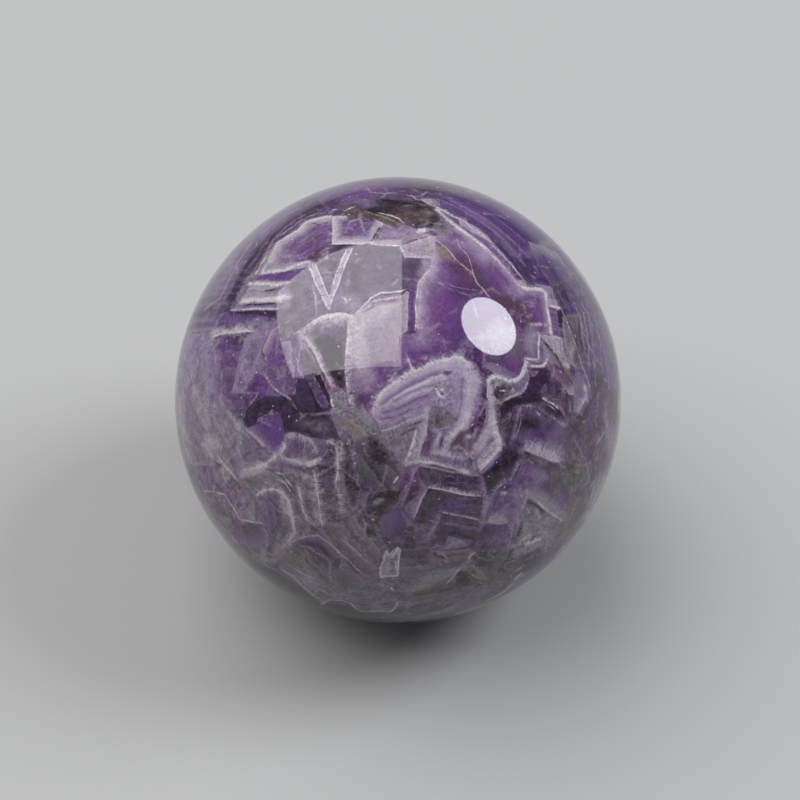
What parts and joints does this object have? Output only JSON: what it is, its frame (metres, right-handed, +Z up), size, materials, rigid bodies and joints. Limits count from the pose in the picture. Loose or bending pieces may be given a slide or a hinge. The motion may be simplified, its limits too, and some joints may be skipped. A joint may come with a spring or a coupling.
{
  "type": "amethyst sphere",
  "caption": "Polished ball of chevron amethyst with zigzag milky and violet growth bands, standing on a small ground flat.",
  "frame": {"origin": "centre of the small flat that the ball stands on", "axes": "+Z up through the ball's centre, -Y towards the side that the picture shows"},
  "size_m": [0.065, 0.065, 0.0648],
  "materials": {
    "polished_amethyst": "high polish"
  },
  "bodies": {
    "root": {"amethyst_sphere": "polished_amethyst"}
  },
  "joints": []
}
